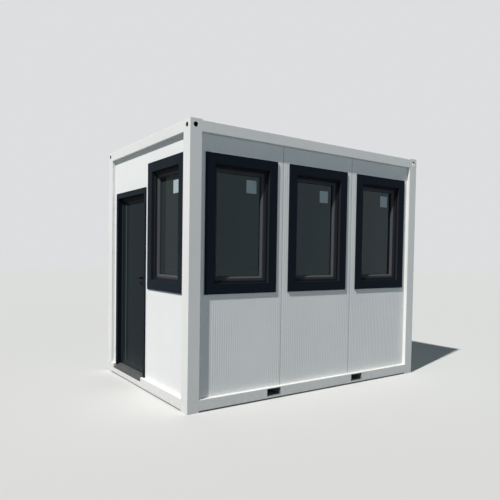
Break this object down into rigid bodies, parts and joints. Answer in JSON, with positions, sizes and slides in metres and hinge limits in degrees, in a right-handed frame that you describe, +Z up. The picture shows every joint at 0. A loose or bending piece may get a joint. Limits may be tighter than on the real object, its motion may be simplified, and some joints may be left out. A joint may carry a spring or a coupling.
{
  "type": "portable office unit",
  "caption": "Portable office cabin: white steel frame, ribbed panel walls, dark framed windows, an inward opening door, fork pockets and lifting corners",
  "frame": {"origin": "centre of the footprint, at ground level", "axes": "X along the long side, Y along the short side, Z up; the front with three windows faces -Y, the door end faces -X"},
  "size_m": [3, 1.98, 2.52],
  "materials": {
    "frame_white": "semi-gloss white paint on steel",
    "wall_white": "satin white coated sheet with fine upright ribs",
    "inside_white": "plain white",
    "roof_steel": "grey coated ribbed sheet",
    "floor_board": "sealed floor board",
    "pocket_steel": "dark primer on steel",
    "sill_grip": "dark grey grip coating on folded sheet",
    "trim_grey": "anthracite grey coated sheet",
    "window_grey": "anthracite grey window profile",
    "glass": "dark reflecting double glazing",
    "door_grey": "smooth semi-gloss anthracite sheet",
    "handle_black": "dark satin",
    "hinge_steel": "anthracite coated steel"
  },
  "bodies": {
    "cabin": {"back_panel_1": "wall_white", "back_panel_2": "wall_white", "back_panel_3": "wall_white", "base_beam_back": "frame_white", "base_beam_front": "frame_white", "base_beam_left": "frame_white", "base_beam_right": "frame_white", "ceiling_panel": "inside_white", "corner_fitting_back_left": "frame_white", "corner_fitting_back_right": "frame_white", "corner_fitting_front_left": "frame_white", "corner_fitting_front_right": "frame_white", "door_frame": "window_grey", "door_side_panel": "wall_white", "door_sill": "sill_grip", "door_trim": "trim_grey", "floor_deck": "floor_board", "floor_joists": "pocket_steel", "fork_pocket_left": "pocket_steel", "fork_pocket_right": "pocket_steel", "frame_hinges": "hinge_steel", "front_panel_1": "wall_white", "front_panel_2": "wall_white", "front_panel_3": "wall_white", "left_window_panel": "wall_white", "over_door_panel": "wall_white", "post_back_left": "frame_white", "post_back_right": "frame_white", "post_front_left": "frame_white", "post_front_right": "frame_white", "right_panel_1": "wall_white", "right_panel_2": "wall_white", "roof_beam_back": "frame_white", "roof_beam_front": "frame_white", "roof_beam_left": "frame_white", "roof_beam_right": "frame_white", "roof_sheet": "roof_steel", "window_frames": "window_grey", "window_handles": "inside_white", "window_panes": "glass", "window_sashes": "window_grey", "window_trims": "trim_grey"},
    "door": {"door_leaf": "door_grey", "weather_bar": "door_grey", "door_handles": "handle_black", "leaf_hinges": "hinge_steel"}
  },
  "joints": [
    {"name": "door_hinge", "type": "hinge", "parent": "cabin", "child": "door", "pos_m": [-1.364, 0.725, 0.129], "axis": [0, 0, 1], "range_deg": [0, 90]}
  ]
}
